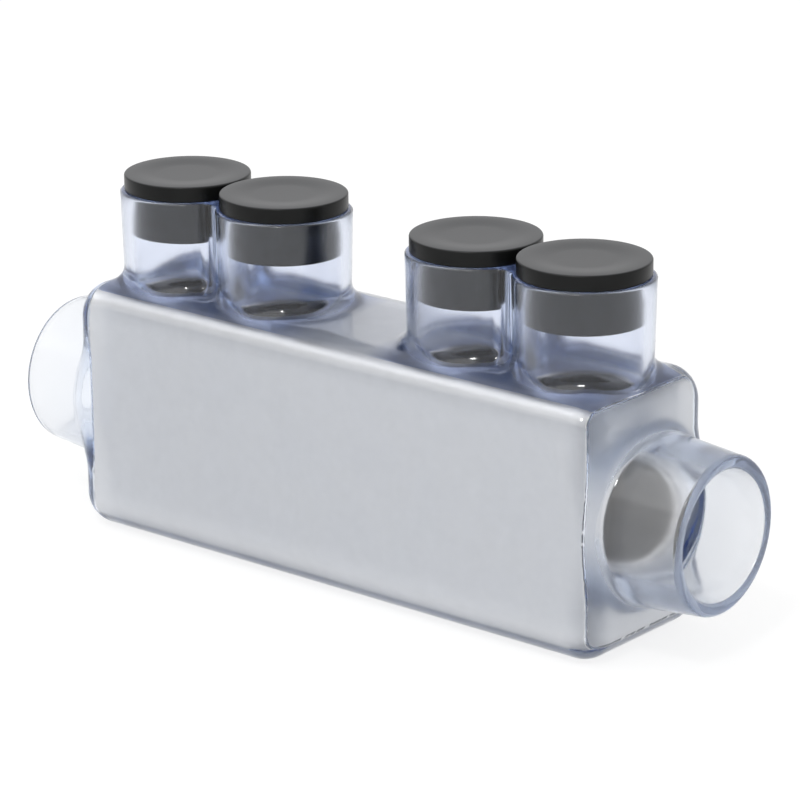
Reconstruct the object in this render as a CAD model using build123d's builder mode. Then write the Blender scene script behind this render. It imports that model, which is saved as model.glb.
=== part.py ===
"""Insulated in-line cable connector: a clear moulded jacket over an aluminium set-screw block.

Millimetres, +Z up, +X along the cables. The origin is at the middle of the underside of the
connector, counted between the two port mouths.
"""

import os
from math import radians, sqrt, tan

from build123d import *

# Connector block: a rectangular bar with a blind cable bore from each end
block_length = 142.0
block_width = 34.8
block_height = 51.4
block_edge_radius = 2.8
block_end_chamfer = 0.5
bore_radius = 12.0
bore_chamfer = 1.0
drill_point_angle = 118.0
centre_web = 6.4

# Set screws: two over each cable bore, backed out to the top of the block so that their points clear it
screw_radius = 10.3
screw_top_gap = 0.1
screw_bore_gap = 0.25
screw_clearance = 0.08
screw_chamfer = 1.0
screw_hole_chamfer = 0.6
screw_point_chamfer = 2.5
hex_across_flats = 9.5
hex_depth = 7.0

# Jacket body
jacket_wall = 4.0
jacket_top_wall = 3.2
jacket_edge_radius = 8.0
jacket_end_radius = 7.0

# Chimneys over the set screws: each pair merges at the rims, and a moulded web joins it lower down
chimney_height = 21.3
chimney_root_wall = 2.0
chimney_rim_wall = 2.7
chimney_end_gap = 3.3
chimney_rim_overlap = 1.7
chimney_root_fillet = 4.0
chimney_root_fillet_share = 0.55
chimney_rim_chamfer = 0.6
chimney_mouth_chamfer = 0.5
chimney_sink = 8.0
web_flat = 0.2
web_fillet = 2.8

# Access plugs
plug_body_radius = 12.7
plug_clearance = 0.1
plug_body_depth = 10.0
plug_body_chamfer = 0.8
plug_flange_lip = 1.8
plug_flange_thickness = 3.6
plug_edge_chamfer = 0.4
plug_dish_margin = 3.4
plug_dish_depth = 0.35
plug_dish_slope = 1.6

# Cable ports: one tapered sleeve on each end, flared into the jacket's end wall
port_length = 19.3
port_side_gap = 2.5
port_root_wall = 4.4
port_mouth_wall = 2.9
port_flare_radius = 4.5
port_flare_land = 0.5
port_lip_radius = 1.2
port_mouth_chamfer = 0.7

# Sizes and places that follow from the ones above
jacket_length = block_length + 2 * jacket_wall
jacket_width = block_width + 2 * jacket_wall
jacket_height = jacket_wall + block_height + jacket_top_wall
block_base = jacket_wall
block_top = block_base + block_height
block_middle_z = (block_base + block_top) / 2
port_axis_z = jacket_height / 2
drill_point = bore_radius / tan(radians(drill_point_angle / 2))
bore_depth = (block_length - centre_web) / 2 - drill_point
screw_base = port_axis_z + bore_radius + screw_bore_gap
screw_top = block_top - screw_top_gap
screw_hole_radius = screw_radius + screw_clearance
rim_z = jacket_height + chimney_height
chimney_bore_radius = plug_body_radius + plug_clearance
chimney_root_radius = chimney_bore_radius + chimney_root_wall
chimney_rim_radius = chimney_bore_radius + chimney_rim_wall
screw_spacing = 2 * chimney_rim_radius - chimney_rim_overlap
screw_outer_x = jacket_length / 2 - chimney_end_gap - chimney_root_radius
screw_inner_x = screw_outer_x - screw_spacing
screw_places = (-screw_outer_x, -screw_inner_x, screw_inner_x, screw_outer_x)
plug_flange_radius = plug_body_radius + plug_flange_lip
plug_dish_radius = plug_flange_radius - plug_dish_margin
port_root_radius = jacket_width / 2 - port_side_gap
port_bore_radius = port_root_radius - port_root_wall
port_mouth_radius = port_bore_radius + port_mouth_wall
port_mouth_x = jacket_length / 2 + port_length

# The fillets in the web's creases run tangent to both rims and leave a narrow flat between them
crease_reach = sqrt(
    (chimney_rim_radius + web_fillet) ** 2 - ((screw_spacing - web_flat) / 2) ** 2
)
web_width = 2 * (crease_reach - web_fillet)

# Root fillet and port flare, no larger than the walls beside them leave room for
chimney_side_room = jacket_width / 2 - chimney_root_radius
chimney_inner_room = screw_inner_x - chimney_root_radius
root_fillet = min(
    chimney_root_fillet,
    chimney_root_fillet_share * chimney_side_room,
    chimney_root_fillet_share * chimney_inner_room,
)
port_flare_room = jacket_height / 2 - jacket_end_radius - port_root_radius - port_flare_land
flare_radius = min(port_flare_radius, port_flare_room)

os.makedirs("parts", exist_ok=True)


def is_upright(edge):
    """True for an edge that runs more nearly up than sideways."""
    return abs(edge.tangent_at(0.5).Z) > abs(edge.tangent_at(0.5).Y)


def is_end_edge(edge):
    """True for an edge at an end of the jacket's body, or on the port flare that leaves it."""
    return abs((edge @ 0.5).X) > jacket_length / 2 - jacket_wall


def is_long_face(face):
    """True for a face that runs the whole length of the jacket's body."""
    return face.bounding_box().size.X > jacket_length - jacket_wall


# Connector block
with BuildPart() as block:
    with BuildSketch(Plane.YZ.offset(-block_length / 2)):
        with Locations((0, block_middle_z)):
            RectangleRounded(block_width, block_height, block_edge_radius)
    extrude(amount=block_length)
    chamfer(block.faces().filter_by(Axis.X).edges(), block_end_chamfer)
    # Each cable bore is drilled from its end and stops short of the middle of the bar
    for side in (-1, 1):
        end_x = side * block_length / 2
        with BuildSketch(Plane.XZ):
            with BuildLine():
                Polyline(
                    (end_x, port_axis_z),
                    (end_x, port_axis_z + bore_radius + bore_chamfer),
                    (end_x - side * bore_chamfer, port_axis_z + bore_radius),
                    (end_x - side * bore_depth, port_axis_z + bore_radius),
                    (end_x - side * (bore_depth + drill_point), port_axis_z),
                    close=True,
                )
            make_face()
        revolve(axis=Axis((0, 0, port_axis_z), (1, 0, 0)), mode=Mode.SUBTRACT)
    # The tapped holes come down from the top face into the bores
    with BuildSketch(Plane.XY.offset(block_top)):
        with Locations(*[(x, 0) for x in screw_places]):
            Circle(screw_hole_radius)
    extrude(amount=port_axis_z - block_top, mode=Mode.SUBTRACT)
    top_face = block.faces().sort_by(Axis.Z)[-1]
    chamfer(top_face.edges().filter_by(GeomType.CIRCLE), screw_hole_chamfer)

block.part.label = "connector_block"
export_step(block.part, "parts/connector_block.step")

# One pair of chimneys with the web between them, started below the jacket's top to join it all round
root_z = jacket_height - chimney_sink
with BuildPart() as chimney_pair:
    for x in (screw_inner_x, screw_outer_x):
        with BuildSketch(Plane.XZ):
            with BuildLine():
                Polyline(
                    (x, root_z),
                    (x + chimney_root_radius, root_z),
                    (x + chimney_rim_radius, rim_z),
                    (x, rim_z),
                    close=True,
                )
            make_face()
        revolve(axis=Axis((x, 0, 0), (0, 0, 1)))
    with BuildSketch(Plane.XY.offset(root_z)):
        with Locations(((screw_inner_x + screw_outer_x) / 2, 0)):
            Rectangle(screw_spacing / 2, web_width)
    extrude(amount=rim_z - root_z)
    fillet(chimney_pair.edges(Select.NEW).filter_by(is_upright), web_fillet)

# Both cable port sleeves, each flared at its root and trimmed to the jacket's own section
with BuildPart() as port_sleeves:
    for side in (-1, 1):
        wall_x = side * jacket_length / 2
        inner_x = wall_x - side * jacket_wall
        flare_x = wall_x + side * flare_radius
        flare_z = port_axis_z + port_root_radius + flare_radius
        with BuildSketch(Plane.XZ):
            with BuildLine():
                Polyline(
                    (wall_x, flare_z),
                    (inner_x, flare_z),
                    (inner_x, port_axis_z),
                    (side * port_mouth_x, port_axis_z),
                    (side * port_mouth_x, port_axis_z + port_mouth_radius),
                    (flare_x, port_axis_z + port_root_radius),
                )
                RadiusArc(
                    (flare_x, port_axis_z + port_root_radius),
                    (wall_x, flare_z),
                    side * flare_radius,
                )
            make_face()
        revolve(axis=Axis((0, 0, port_axis_z), (1, 0, 0)))
    with BuildSketch(Plane.YZ.offset(-port_mouth_x)):
        with Locations((0, port_axis_z)):
            RectangleRounded(jacket_width, jacket_height, jacket_edge_radius)
    extrude(amount=2 * port_mouth_x, mode=Mode.INTERSECT)

# Jacket: outer form first, then its cavities
with BuildPart() as jacket:
    with BuildSketch(Plane.YZ.offset(-jacket_length / 2)):
        with Locations((0, port_axis_z)):
            RectangleRounded(jacket_width, jacket_height, jacket_edge_radius)
    extrude(amount=jacket_length)
    add(port_sleeves.part)
    end_edges = jacket.faces().filter_by(is_long_face).edges().filter_by(is_end_edge)
    fillet(end_edges, jacket_end_radius)

    # The chimneys run out over the rounded edges of the top, and so does their root fillet
    add([chimney_pair.part, mirror(chimney_pair.part, about=Plane.YZ, mode=Mode.PRIVATE)])
    fillet(jacket.edges(Select.NEW), root_fillet)
    chamfer(jacket.faces().sort_by(Axis.Z)[-2:].edges(), chimney_rim_chamfer)
    mouths = jacket.faces().sort_by(Axis.X)
    fillet([mouths[0].edge(), mouths[-1].edge()], port_lip_radius)

    # Inside, the jacket fits the block all over, with a round bore in each chimney and port
    with BuildSketch(Plane.YZ.offset(-block_length / 2)):
        with Locations((0, block_middle_z)):
            RectangleRounded(block_width, block_height, block_edge_radius)
    extrude(amount=block_length, mode=Mode.SUBTRACT)
    with BuildSketch(Plane.XY.offset(block_top)):
        with Locations(*[(x, 0) for x in screw_places]):
            Circle(chimney_bore_radius)
    extrude(amount=rim_z - block_top, mode=Mode.SUBTRACT)
    rims = jacket.faces().sort_by(Axis.Z)[-2:]
    chamfer([wire.edge() for rim in rims for wire in rim.inner_wires()], chimney_mouth_chamfer)
    for side in (-1, 1):
        with BuildSketch(Plane.XZ):
            with BuildLine():
                Polyline(
                    (side * block_length / 2, port_axis_z),
                    (side * block_length / 2, port_axis_z + port_bore_radius),
                    (side * (port_mouth_x - port_mouth_chamfer), port_axis_z + port_bore_radius),
                    (side * port_mouth_x, port_axis_z + port_bore_radius + port_mouth_chamfer),
                    (side * port_mouth_x, port_axis_z),
                    close=True,
                )
            make_face()
        revolve(axis=Axis((0, 0, port_axis_z), (1, 0, 0)), mode=Mode.SUBTRACT)

jacket.part.label = "insulating_jacket"
export_step(jacket.part, "parts/insulating_jacket.step")

# Set screws: plain cylinders with a hex socket above and a flat, chamfered point below
for number, x in enumerate(screw_places, start=1):
    with BuildPart() as screw:
        with BuildSketch(Plane.XZ):
            with BuildLine():
                Polyline(
                    (x, screw_top),
                    (x + screw_radius - screw_chamfer, screw_top),
                    (x + screw_radius, screw_top - screw_chamfer),
                    (x + screw_radius, screw_base + screw_point_chamfer),
                    (x + screw_radius - screw_point_chamfer, screw_base),
                    (x, screw_base),
                    close=True,
                )
            make_face()
        revolve(axis=Axis((x, 0, 0), (0, 0, 1)))
        with BuildSketch(Plane.XY.offset(screw_top)):
            with Locations((x, 0)):
                RegularPolygon(hex_across_flats / 2, 6, major_radius=False)
        extrude(amount=-hex_depth, mode=Mode.SUBTRACT)
    screw.part.label = f"set_screw_{number}"
    export_step(screw.part, f"parts/set_screw_{number}.step")

# Access plugs: the flange rests on the rim and the body fills the mouth of the chimney
plug_top = rim_z + plug_flange_thickness
plug_base = rim_z - plug_body_depth
for number, x in enumerate(screw_places, start=1):
    with BuildPart() as plug:
        with BuildSketch(Plane.XZ):
            with BuildLine():
                Polyline(
                    (x, plug_top - plug_dish_depth),
                    (x + plug_dish_radius - plug_dish_slope, plug_top - plug_dish_depth),
                    (x + plug_dish_radius, plug_top),
                    (x + plug_flange_radius, plug_top),
                    (x + plug_flange_radius, rim_z),
                    (x + plug_body_radius, rim_z),
                    (x + plug_body_radius, plug_base + plug_body_chamfer),
                    (x + plug_body_radius - plug_body_chamfer, plug_base),
                    (x, plug_base),
                    close=True,
                )
            make_face()
        revolve(axis=Axis((x, 0, 0), (0, 0, 1)))
        flange_edges = plug.edges().filter_by(GeomType.CIRCLE).group_by(SortBy.RADIUS)[-1]
        chamfer(flange_edges.sort_by(Axis.Z)[-1], plug_edge_chamfer)
    plug.part.label = f"access_plug_{number}"
    export_step(plug.part, f"parts/access_plug_{number}.step")
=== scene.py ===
"""Looks of the insulated in-line cable connector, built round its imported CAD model.

Metres, +Z up, +X along the cables, in the frame's own place.
"""

from math import cos, pi, radians, sin

import bmesh
import bpy
import numpy as np
from mathutils import Matrix, Vector


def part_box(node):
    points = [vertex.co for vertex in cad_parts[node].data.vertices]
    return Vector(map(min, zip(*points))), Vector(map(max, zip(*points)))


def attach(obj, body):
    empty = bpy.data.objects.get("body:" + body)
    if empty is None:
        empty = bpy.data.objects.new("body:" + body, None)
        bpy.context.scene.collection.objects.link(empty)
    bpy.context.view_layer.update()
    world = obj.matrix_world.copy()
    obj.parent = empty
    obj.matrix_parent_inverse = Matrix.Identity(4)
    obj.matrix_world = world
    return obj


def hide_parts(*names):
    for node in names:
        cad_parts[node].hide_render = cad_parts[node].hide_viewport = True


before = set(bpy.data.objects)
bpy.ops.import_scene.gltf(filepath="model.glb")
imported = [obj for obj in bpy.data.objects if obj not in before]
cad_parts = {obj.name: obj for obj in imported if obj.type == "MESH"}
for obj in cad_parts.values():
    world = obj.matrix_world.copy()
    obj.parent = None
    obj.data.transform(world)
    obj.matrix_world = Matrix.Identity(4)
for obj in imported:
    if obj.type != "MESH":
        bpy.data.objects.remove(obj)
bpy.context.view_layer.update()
scene = bpy.context.scene

MM = 0.001
SCREWS = (1, 2, 3, 4)
WELD_DISTANCE = 0.0005 * MM
ON_FACE = 0.01 * MM
WHITE = (1.0, 1.0, 1.0, 1.0)

# Places that the materials refer to, from the frame and the CAD source's walls over the bar
JACKET_WALL = 4.0 * MM
JACKET_TOP_WALL = 3.2 * MM
EDGE_SHADE_WIDTH = 0.4 * MM
bar_low, bar_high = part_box("connector_block")
_, jacket_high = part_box("insulating_jacket")
BAR_END = bar_high.x
BAR_TOP = bar_high.z
BODY_END = BAR_END + JACKET_WALL
SHOULDER_HEIGHT = BAR_TOP + JACKET_TOP_WALL
RIM_HEIGHT = jacket_high.z


# Colour and node helpers


def linear(code):
    """The sRGB colour written as six hex digits, as linear red, green, blue and an alpha of 1."""
    srgb = np.array([int(code[i : i + 2], 16) for i in (0, 2, 4)]) / 255
    level = np.where(srgb <= 0.04045, srgb / 12.92, ((srgb + 0.055) / 1.055) ** 2.4)
    return (*level.tolist(), 1.0)


def add(tree, kind, settings=None, **inputs):
    """Adds one node. Each input is a value or another node's socket.

    An input is named as its socket is, with _ for a space, or by _ and the socket's number.
    """
    node = tree.nodes.new("ShaderNode" + kind)
    for name, value in (settings or {}).items():
        setattr(node, name, value)
    for name, value in inputs.items():
        number = name.lstrip("_")
        socket = node.inputs[int(number) if number.isdigit() else name.replace("_", " ")]
        if isinstance(value, bpy.types.NodeSocket):
            tree.links.new(value, socket)
        else:
            socket.default_value = value
    return node


def new_material(name):
    """A material with an empty node tree, and its output node."""
    material = bpy.data.materials.new(name)
    material.use_nodes = True
    tree = material.node_tree
    tree.nodes.clear()
    return material, tree, add(tree, "OutputMaterial")


# Mesh helpers


def put_in_scene(name, mesh, material, body, node):
    """Shows mesh as a piece that rides on a body in place of one CAD node."""
    mesh.materials.clear()
    mesh.materials.append(material)
    piece = bpy.data.objects.new(name, mesh)
    scene.collection.objects.link(piece)
    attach(piece, body)
    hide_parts(node)
    return piece


def welded_copy(node, name, sharp_angle):
    """The CAD node's shape, its triangles joined, smooth but for edges over sharp_angle degrees."""
    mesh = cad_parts[node].data.copy()
    mesh.name = name
    custom = mesh.attributes.get("custom_normal")
    if custom is not None:
        mesh.attributes.remove(custom)
    work = bmesh.new()
    work.from_mesh(mesh)
    bmesh.ops.remove_doubles(work, verts=work.verts, dist=WELD_DISTANCE)
    work.to_mesh(mesh)
    work.free()
    mesh.shade_smooth()
    mesh.set_sharp_from_angle(angle=radians(sharp_angle))
    return mesh


def keep_flats_flat(piece):
    """Lets the large faces set the shading at their borders, so that flats stay flat beside fillets."""
    weighted = piece.modifiers.new("flats", "WEIGHTED_NORMAL")
    weighted.mode = "FACE_AREA_WITH_ANGLE"
    weighted.weight = 100
    weighted.keep_sharp = True


def grid_mesh(name, points, sharp_angle):
    """A closed skin over a grid of points: rows run along the profile, columns round the axis.

    The first and the last row shrink to one point each, the poles, and the last column joins the first.
    """
    rows, columns = points.shape[:2]
    inner = points[1:-1].reshape(-1, 3)
    corners = np.vstack([points[0, :1], inner, points[-1, :1]])
    row = np.arange(rows - 3)[:, None] * columns
    column = np.arange(columns)[None, :]
    after = (column + 1) % columns
    first = 1 + row + column
    second = 1 + row + after
    quads = np.stack([first, second, second + columns, first + columns], -1).reshape(-1, 4)
    near = np.arange(columns)
    beyond = (near + 1) % columns
    last_ring = 1 + (rows - 3) * columns
    start_fan = np.stack([np.zeros(columns, int), 1 + beyond, 1 + near], -1)
    end_fan = np.stack([np.full(columns, len(corners) - 1), last_ring + near, last_ring + beyond], -1)
    mesh = bpy.data.meshes.new(name)
    mesh.from_pydata(corners.tolist(), [], quads.tolist() + start_fan.tolist() + end_fan.tolist())
    mesh.shade_smooth()
    mesh.set_sharp_from_angle(angle=radians(sharp_angle))
    return mesh


# Clear moulded vinyl: soft PVC, glossy, with a faint blue tint that deepens where the wall is thick,
# a slight unevenness left by the mould and a trace of haze in the two ports. A faintly bluer tone on
# the top and the chimneys is painted shade
def make_vinyl():
    material, tree, output = new_material("clear_moulded_vinyl")
    place = add(tree, "TexCoord").outputs["Object"]
    wave = add(tree, "TexNoise", Vector=place, Scale=1 / (9 * MM), Detail=2.0, Roughness=0.5)
    bump = add(tree, "Bump", Height=wave.outputs["Fac"], Strength=0.12, Distance=0.4 * MM)
    spot = add(tree, "SeparateXYZ", Vector=place)
    from_middle = add(tree, "Math", {"operation": "ABSOLUTE"}, _0=spot.outputs["X"])
    in_port = add(
        tree,
        "MapRange",
        Value=from_middle.outputs["Value"],
        From_Min=BODY_END,
        From_Max=BODY_END + 3 * MM,
    )
    clearness = add(tree, "MapRange", Value=in_port.outputs["Result"], To_Min=1.0, To_Max=0.94)
    raised = add(
        tree,
        "MapRange",
        Value=spot.outputs["Z"],
        From_Min=SHOULDER_HEIGHT - 3 * MM,
        From_Max=SHOULDER_HEIGHT,
    )
    # Painted shade: a faintly bluer tone over the top and the chimneys
    painted_top_shade = add(tree, "MixRGB", _0=raised.outputs["Result"], _1=linear("ffffff"), _2=linear("f7f9ff"))
    surface = add(
        tree,
        "BsdfPrincipled",
        Base_Color=painted_top_shade.outputs["Color"],
        Roughness=0.14,
        IOR=1.53,
        Specular_IOR_Level=0.35,
        Transmission_Weight=clearness.outputs["Result"],
        Normal=bump.outputs["Normal"],
    )
    tint = add(tree, "VolumeAbsorption", Color=linear("7caee7"), Density=25.0)
    tree.links.new(surface.outputs["BSDF"], output.inputs["Surface"])
    tree.links.new(tint.outputs["Volume"], output.inputs["Volume"])
    return material


# Plated aluminium bar: satin, cloudy from handling and plating, with faint lines along the drawn bar.
# A broken dark line round each end's edge is painted shade, for the dark seam seen there through the
# vinyl. The top is darker and bluer towards its ends, a tone that stands in for the light lost in the
# chimneys' thick feet
def make_bar_aluminium():
    material, tree, output = new_material("satin_plated_aluminium")
    place = add(tree, "TexCoord").outputs["Object"]
    clouds = add(tree, "TexNoise", Vector=place, Scale=1 / (16 * MM), Detail=5.0, Roughness=0.62)
    stretched = add(tree, "Mapping", Vector=place, Scale=(1 / (30 * MM), 1 / (0.9 * MM), 1 / (0.9 * MM)))
    lines = add(tree, "TexNoise", Vector=stretched.outputs["Vector"], Scale=1.0, Detail=2.0)
    grain = add(tree, "TexNoise", Vector=place, Scale=1 / (0.7 * MM), Detail=2.0)
    shade = add(tree, "ValToRGB", Fac=clouds.outputs["Fac"])
    shade.color_ramp.elements[0].position = 0.35
    shade.color_ramp.elements[0].color = linear("e3e1de")
    shade.color_ramp.elements[1].position = 0.66
    shade.color_ramp.elements[1].color = linear("efedea")
    dullness = add(
        tree,
        "MapRange",
        Value=clouds.outputs["Fac"],
        From_Min=0.3,
        From_Max=0.7,
        To_Min=0.34,
        To_Max=0.46,
    )
    spot = add(tree, "SeparateXYZ", Vector=place)
    from_middle = add(tree, "Math", {"operation": "ABSOLUTE"}, _0=spot.outputs["X"])
    distance = from_middle.outputs["Value"]
    near_end = add(tree, "Math", {"operation": "GREATER_THAN"}, _0=distance, _1=BAR_END - EDGE_SHADE_WIDTH)
    short_of_end = add(tree, "Math", {"operation": "LESS_THAN"}, _0=distance, _1=BAR_END - 0.02 * MM)
    line_breaks = add(tree, "TexNoise", Vector=place, Scale=1 / (1.5 * MM), Detail=1.0)
    line_shows = add(
        tree,
        "MapRange",
        Value=line_breaks.outputs["Fac"],
        From_Min=0.58,
        From_Max=0.64,
        To_Min=1.0,
        To_Max=0.0,
    )
    on_edge = add(
        tree,
        "Math",
        {"operation": "MULTIPLY"},
        _0=near_end.outputs["Value"],
        _1=short_of_end.outputs["Value"],
    )
    painted_edge_shade = add(
        tree,
        "Math",
        {"operation": "MULTIPLY"},
        _0=on_edge.outputs["Value"],
        _1=line_shows.outputs["Result"],
    )
    on_top = add(tree, "Math", {"operation": "GREATER_THAN"}, _0=spot.outputs["Z"], _1=BAR_TOP - 0.1 * MM)
    past_middle = add(tree, "MapRange", Value=distance, From_Min=9 * MM, From_Max=17 * MM, To_Max=0.9)
    dim = add(
        tree,
        "Math",
        {"operation": "MULTIPLY"},
        _0=on_top.outputs["Value"],
        _1=past_middle.outputs["Result"],
    )
    body = add(tree, "MixRGB", _0=dim.outputs["Value"], _1=shade.outputs["Color"], _2=linear("a3acc6"))
    # Painted shade: a broken dark line round each end's edge
    colour_with_edge_shade = add(tree, "MixRGB", _0=painted_edge_shade.outputs["Value"], _1=body.outputs["Color"], _2=linear("4a4e57"))
    relief = add(
        tree,
        "Math",
        {"operation": "MULTIPLY_ADD"},
        _0=lines.outputs["Fac"],
        _1=0.6,
        _2=grain.outputs["Fac"],
    )
    bump = add(tree, "Bump", Height=relief.outputs["Value"], Strength=0.25, Distance=0.04 * MM)
    surface = add(
        tree,
        "BsdfPrincipled",
        Base_Color=colour_with_edge_shade.outputs["Color"],
        Metallic=1.0,
        Roughness=dullness.outputs["Result"],
        Normal=bump.outputs["Normal"],
    )
    tree.links.new(surface.outputs["BSDF"], output.inputs["Surface"])
    return material


# Turned aluminium, dull, with a fine grain from the tool. Its patchy colour, much darker than the bar,
# is painted shade, for the dim chimneys under the plugs
def make_screw_aluminium():
    material, tree, output = new_material("turned_aluminium")
    place = add(tree, "TexCoord").outputs["Object"]
    shade_patches = add(tree, "TexNoise", Vector=place, Scale=1 / (4 * MM), Detail=4.0)
    # Painted shade: both tones are far darker than bare aluminium
    shade = add(tree, "ValToRGB", Fac=shade_patches.outputs["Fac"])
    shade.color_ramp.elements[0].position = 0.3
    shade.color_ramp.elements[0].color = linear("0d0e11")
    shade.color_ramp.elements[1].position = 0.7
    shade.color_ramp.elements[1].color = linear("1f2024")
    grain = add(tree, "TexNoise", Vector=place, Scale=1 / (0.5 * MM), Detail=2.0)
    bump = add(tree, "Bump", Height=grain.outputs["Fac"], Strength=0.3, Distance=0.03 * MM)
    surface = add(
        tree,
        "BsdfPrincipled",
        Base_Color=shade.outputs["Color"],
        Metallic=1.0,
        Roughness=0.3,
        Normal=bump.outputs["Normal"],
    )
    tree.links.new(surface.outputs["BSDF"], output.inputs["Surface"])
    return material


# Black moulded rubber: matt, with a fine stipple from the mould, a trace of grey bloom, a lighter top
# that is painted sheen, and blotches where it presses against the chimney's wall
def make_rubber():
    material, tree, output = new_material("black_moulded_rubber")
    place = add(tree, "TexCoord").outputs["Object"]
    bloom = add(tree, "TexNoise", Vector=place, Scale=1 / (7 * MM), Detail=4.0, Roughness=0.6)
    shade = add(tree, "ValToRGB", Fac=bloom.outputs["Fac"])
    shade.color_ramp.elements[0].position = 0.35
    shade.color_ramp.elements[0].color = linear("0b0c0c")
    shade.color_ramp.elements[1].position = 0.7
    shade.color_ramp.elements[1].color = linear("141515")
    blotches = add(tree, "TexNoise", Vector=place, Scale=1 / (2.5 * MM), Detail=3.0, Roughness=0.7)
    pressed = add(tree, "ValToRGB", Fac=blotches.outputs["Fac"])
    pressed.color_ramp.elements[0].position = 0.42
    pressed.color_ramp.elements[0].color = linear("070808")
    pressed.color_ramp.elements[1].position = 0.68
    pressed.color_ramp.elements[1].color = linear("242628")
    spot = add(tree, "SeparateXYZ", Vector=place)
    outside = add(tree, "Math", {"operation": "GREATER_THAN"}, _0=spot.outputs["Z"], _1=RIM_HEIGHT)
    body = add(
        tree,
        "MixRGB",
        _0=outside.outputs["Value"],
        _1=pressed.outputs["Color"],
        _2=shade.outputs["Color"],
    )
    # Painted sheen: faces that look up are made lighter, for the light that the top catches
    facing = add(tree, "SeparateXYZ", Vector=add(tree, "NewGeometry").outputs["Normal"])
    faces_up = add(tree, "MapRange", Value=facing.outputs["Z"], From_Min=0.6, From_Max=0.95)
    painted_top_sheen = add(
        tree,
        "MixRGB",
        _0=faces_up.outputs["Result"],
        _1=body.outputs["Color"],
        _2=linear("3d3e40"),
    )
    stipple = add(tree, "TexNoise", Vector=place, Scale=1 / (0.5 * MM), Detail=2.0)
    bump = add(tree, "Bump", Height=stipple.outputs["Fac"], Strength=0.25, Distance=0.05 * MM)
    surface = add(
        tree,
        "BsdfPrincipled",
        Base_Color=painted_top_sheen.outputs["Color"],
        Roughness=0.34,
        Specular_IOR_Level=0.2,
        Normal=bump.outputs["Normal"],
    )
    tree.links.new(surface.outputs["BSDF"], output.inputs["Surface"])
    return material


vinyl = make_vinyl()
bar_aluminium = make_bar_aluminium()
screw_aluminium = make_screw_aluminium()
rubber = make_rubber()

# Jacket: the CAD shape made smooth. The soft vinyl wets the bar, so its cavity reaches a hair into it,
# and the chimney rims stand a hair below the plugs
OVERLAP = 0.05 * MM
RIM_GAP = 0.05 * MM
jacket_mesh = welded_copy("insulating_jacket", "jacket", 50)
spots = np.empty(len(jacket_mesh.vertices) * 3)
jacket_mesh.vertices.foreach_get("co", spots)
spots = spots.reshape(-1, 3)
centre = (np.array(bar_low) + np.array(bar_high)) / 2
half = (np.array(bar_high) - np.array(bar_low)) / 2
in_cavity = (np.abs(spots - centre) <= half + ON_FACE).all(1)
spots[in_cavity] = centre + (spots[in_cavity] - centre) * (1 - OVERLAP / half)
on_rim = spots[:, 2] > RIM_HEIGHT - ON_FACE
spots[on_rim, 2] -= RIM_GAP
jacket_mesh.vertices.foreach_set("co", spots.ravel())
jacket = put_in_scene("jacket", jacket_mesh, vinyl, "housing", "insulating_jacket")
keep_flats_flat(jacket)

# Bar: the CAD shape made smooth
bar_mesh = welded_copy("connector_block", "connector_bar", 35)
bar = put_in_scene(
    "connector_bar", bar_mesh, bar_aluminium, "housing", "connector_block"
)
keep_flats_flat(bar)

# Screws
THREAD_PITCH = 1.5 * MM
THREAD_DEPTH = 0.75 * MM
SCREW_CHAMFER = 1.0 * MM
POINT_CHAMFER = 2.5 * MM
HEX_FLATS = 9.5 * MM
HEX_DEPTH = 7.0 * MM
HEX_LEAD_IN = 0.5 * MM
AROUND = 120


def screw_points(low, high):
    """A set screw as rings round its axis, from the point's centre to the socket floor's centre.

    The thread is a wave in the radius, highest on the outline and THREAD_DEPTH lower between crests, whose
    phase is height over pitch plus the turn about the axis. In the socket the radius is that of a hexagon:
    the half width across flats over the cosine of the angle from the nearest flat's middle.
    """
    turn = np.arange(AROUND) * 2 * pi / AROUND
    middle = (low + high) / 2
    radius = (high.x - low.x) / 2
    length = high.z - low.z
    height = np.linspace(0, length, 97)
    room = np.minimum(radius - POINT_CHAMFER + height, radius - SCREW_CHAMFER + length - height)
    phase = height[:, None] / THREAD_PITCH - turn[None, :] / (2 * pi)
    groove = np.abs(2 * (phase % 1) - 1)
    shank = np.minimum(radius - THREAD_DEPTH * groove, room[:, None])
    from_flat = (turn + pi / 6) % (pi / 3) - pi / 6
    hexagon = HEX_FLATS / 2 / np.cos(from_flat)
    rings = [(np.zeros(AROUND), 0.0), (np.full(AROUND, radius - POINT_CHAMFER - 0.1 * MM), 0.0)]
    rings += list(zip(shank, height))
    rings += [
        (np.full(AROUND, radius - SCREW_CHAMFER - 0.1 * MM), length),
        (np.maximum(hexagon, HEX_FLATS / 2 + HEX_LEAD_IN), length),
        (hexagon, length - HEX_LEAD_IN),
        (hexagon, length - HEX_DEPTH + 0.1 * MM),
        (hexagon - 0.1 * MM, length - HEX_DEPTH),
        (np.zeros(AROUND), length - HEX_DEPTH),
    ]
    reach = np.array([ring for ring, _ in rings])
    level = np.array([z for _, z in rings])[:, None] * np.ones(AROUND)
    return np.stack([middle.x + reach * np.cos(turn), middle.y + reach * np.sin(turn), low.z + level], -1)


for number in SCREWS:
    node = f"set_screw_{number}"
    mesh = grid_mesh(f"threaded_screw_{number}", screw_points(*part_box(node)), 30)
    put_in_scene(mesh.name, mesh, screw_aluminium, f"screw_{number}", node)

# Plugs
FLANGE_THICKNESS = 3.6 * MM
BODY_RADIUS = 12.7 * MM
TOP_EDGE_RADIUS = 0.45 * MM
BODY_EDGE_RADIUS = 0.8 * MM
DISH_DEPTH = 0.35 * MM
DISH_FLOOR_RADIUS = 6.5 * MM
DISH_RIM_RADIUS = 12.6 * MM


def arc(centre_radius, centre_height, radius, start, end, steps=7):
    """Points of a profile along a circle's arc, as radius and height, between two angles in degrees."""
    angle = np.radians(np.linspace(start, end, steps))
    return np.stack([centre_radius + radius * np.cos(angle), centre_height + radius * np.sin(angle)], -1)


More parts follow.
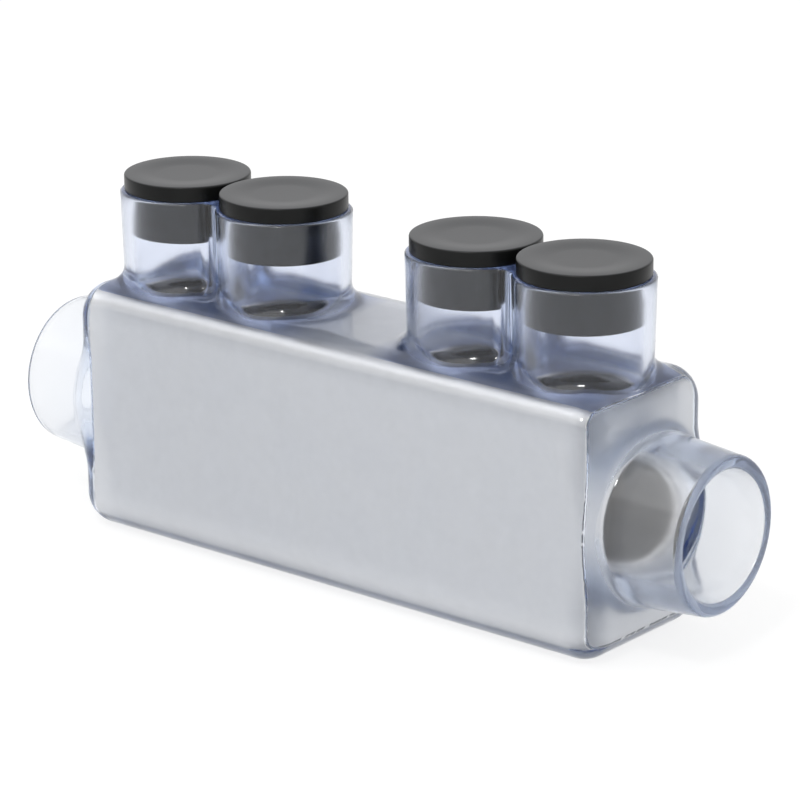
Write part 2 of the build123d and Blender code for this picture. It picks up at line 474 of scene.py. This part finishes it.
def plug_points(low, high):
    """An access plug as its profile turned about its axis, from the base's centre to the dish's centre.

    The dish falls from its rim to its floor along a smooth step: 3 s squared less 2 s cubed of its depth.
    """
    turn = np.arange(AROUND) * 2 * pi / AROUND
    middle = (low + high) / 2
    flange_radius = (high.x - low.x) / 2
    top = high.z - low.z
    rim = top - FLANGE_THICKNESS
    share = np.linspace(0, 1, 13)
    dish = np.stack(
        [
            DISH_RIM_RADIUS + (DISH_FLOOR_RADIUS - DISH_RIM_RADIUS) * share,
            top - DISH_DEPTH * (3 * share**2 - 2 * share**3),
        ],
        -1,
    )
    profile = np.vstack(
        [
            [[0, 0]],
            arc(BODY_RADIUS - BODY_EDGE_RADIUS, BODY_EDGE_RADIUS, BODY_EDGE_RADIUS, -90, 0),
            [[BODY_RADIUS, rim]],
            arc(flange_radius - 0.2 * MM, rim + 0.2 * MM, 0.2 * MM, -90, 0),
            arc(flange_radius - TOP_EDGE_RADIUS, top - TOP_EDGE_RADIUS, TOP_EDGE_RADIUS, 0, 90),
            dish,
            [[0, top - DISH_DEPTH]],
        ]
    )
    reach = profile[:, :1]
    level = low.z + profile[:, 1:] * np.ones(AROUND)
    return np.stack([middle.x + reach * np.cos(turn), middle.y + reach * np.sin(turn), level], -1)


for number in SCREWS:
    node = f"access_plug_{number}"
    mesh = grid_mesh(f"rubber_plug_{number}", plug_points(*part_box(node)), 50)
    put_in_scene(mesh.name, mesh, rubber, f"plug_{number}", node)

# Floor: white paper, shown by camera, glossy and transmission rays at the background's white, which
# the object's own shadow takes down. It lies a hair under the part
FLOOR_HALF = 6.0
FLOOR_DROP = 0.2 * MM
FLOOR_GREY = 0.25
FLOOR_GLOW = 0.8


def seen_rays(tree):
    """1 for the rays that show a thing to the camera, straight, by reflection or through glass, else 0."""
    path = add(tree, "LightPath")
    mirrored = add(
        tree,
        "Math",
        {"operation": "MAXIMUM"},
        _0=path.outputs["Is Camera Ray"],
        _1=path.outputs["Is Glossy Ray"],
    )
    through = add(
        tree,
        "Math",
        {"operation": "MAXIMUM"},
        _0=mirrored.outputs["Value"],
        _1=path.outputs["Is Transmission Ray"],
    )
    return through.outputs["Value"]


paper, tree, output = new_material("white_paper")
lit = add(tree, "BsdfDiffuse", Color=(FLOOR_GREY, FLOOR_GREY, FLOOR_GREY, 1.0))
level = add(tree, "Math", {"operation": "MULTIPLY"}, _0=seen_rays(tree), _1=FLOOR_GLOW)
glow = add(tree, "Emission", Color=WHITE, Strength=level.outputs["Value"])
both = add(tree, "AddShader", _0=lit.outputs["BSDF"], _1=glow.outputs["Emission"])
tree.links.new(both.outputs["Shader"], output.inputs["Surface"])
floor_mesh = bpy.data.meshes.new("floor")
floor_mesh.from_pydata(
    [(x * FLOOR_HALF, y * FLOOR_HALF, -FLOOR_DROP) for x, y in ((-1, -1), (1, -1), (1, 1), (-1, 1))],
    [],
    [(0, 1, 2, 3)],
)
floor_mesh.materials.append(paper)
floor = bpy.data.objects.new("floor", floor_mesh)
scene.collection.objects.link(floor)

# World: white where it is seen, and the studio's even light elsewhere
EVEN_LIGHT = 0.75
world = bpy.data.worlds.new("studio")
scene.world = world
world.use_nodes = True
tree = world.node_tree
tree.nodes.clear()
output = add(tree, "OutputWorld")
even = add(tree, "Background", Color=WHITE, Strength=EVEN_LIGHT)
white = add(tree, "Background", Color=WHITE, Strength=1.0)
choice = add(
    tree, "MixShader", _0=seen_rays(tree), _1=even.outputs["Background"], _2=white.outputs["Background"]
)
tree.links.new(choice.outputs["Shader"], output.inputs["Surface"])

# Lamps: one large soft box high on the left, and a small one that gives the highlights
TARGET = Vector((0.0, 0.0, 0.03))


def add_lamp(name, azimuth, elevation, distance, size, power):
    """A square soft box aimed at the object. Azimuth 0 is on the -Y side and 90 on the +X side."""
    lamp = bpy.data.lights.new(name, "AREA")
    lamp.shape = "SQUARE"
    lamp.size = size
    lamp.energy = power
    holder = bpy.data.objects.new(name, lamp)
    a, e = radians(azimuth), radians(elevation)
    away = Vector((sin(a) * cos(e), -cos(a) * cos(e), sin(e)))
    holder.location = TARGET + away * distance
    holder.rotation_mode = "QUATERNION"
    holder.rotation_quaternion = away.to_track_quat("Z", "Y")
    scene.collection.objects.link(holder)


add_lamp("soft_box", azimuth=-20, elevation=55, distance=1.6, size=1.2, power=6.0)
add_lamp("highlight", azimuth=25, elevation=50, distance=1.2, size=0.12, power=3.0)

# Camera, solved from the photograph: its angles round the object, the point it looks past, its distance
AZIMUTH = radians(40.0096)
ELEVATION = radians(18.1565)
ROLL = radians(-0.4805)
LOOK_AT = Vector((0.0, 0.0, 0.030))
DISTANCE = 0.867410
FOCAL_PIXELS = 3878.495
IMAGE_PIXELS = 800
LOOK_AT_PIXEL = (380.280, 443.186)
SENSOR = 36.0

back = Vector((sin(AZIMUTH) * cos(ELEVATION), -cos(AZIMUTH) * cos(ELEVATION), sin(ELEVATION)))
level_right = Vector((cos(AZIMUTH), sin(AZIMUTH), 0.0))
level_up = back.cross(level_right)
right = cos(ROLL) * level_right + sin(ROLL) * level_up
up = cos(ROLL) * level_up - sin(ROLL) * level_right
metres_per_pixel = DISTANCE / FOCAL_PIXELS
aside = (LOOK_AT_PIXEL[0] - IMAGE_PIXELS / 2) * metres_per_pixel
above = (IMAGE_PIXELS / 2 - LOOK_AT_PIXEL[1]) * metres_per_pixel
camera_data = bpy.data.cameras.new("camera")
camera_data.sensor_width = SENSOR
camera_data.lens = SENSOR * FOCAL_PIXELS / IMAGE_PIXELS
camera = bpy.data.objects.new("camera", camera_data)
camera.matrix_world = Matrix.Translation(LOOK_AT + DISTANCE * back - aside * right - above * up) @ Matrix(
    (right, up, back)
).transposed().to_4x4()
scene.collection.objects.link(camera)
scene.camera = camera

scene.view_settings.view_transform = "Standard"
scene.cycles.max_bounces = 24
scene.cycles.transmission_bounces = 20
scene.cycles.glossy_bounces = 8
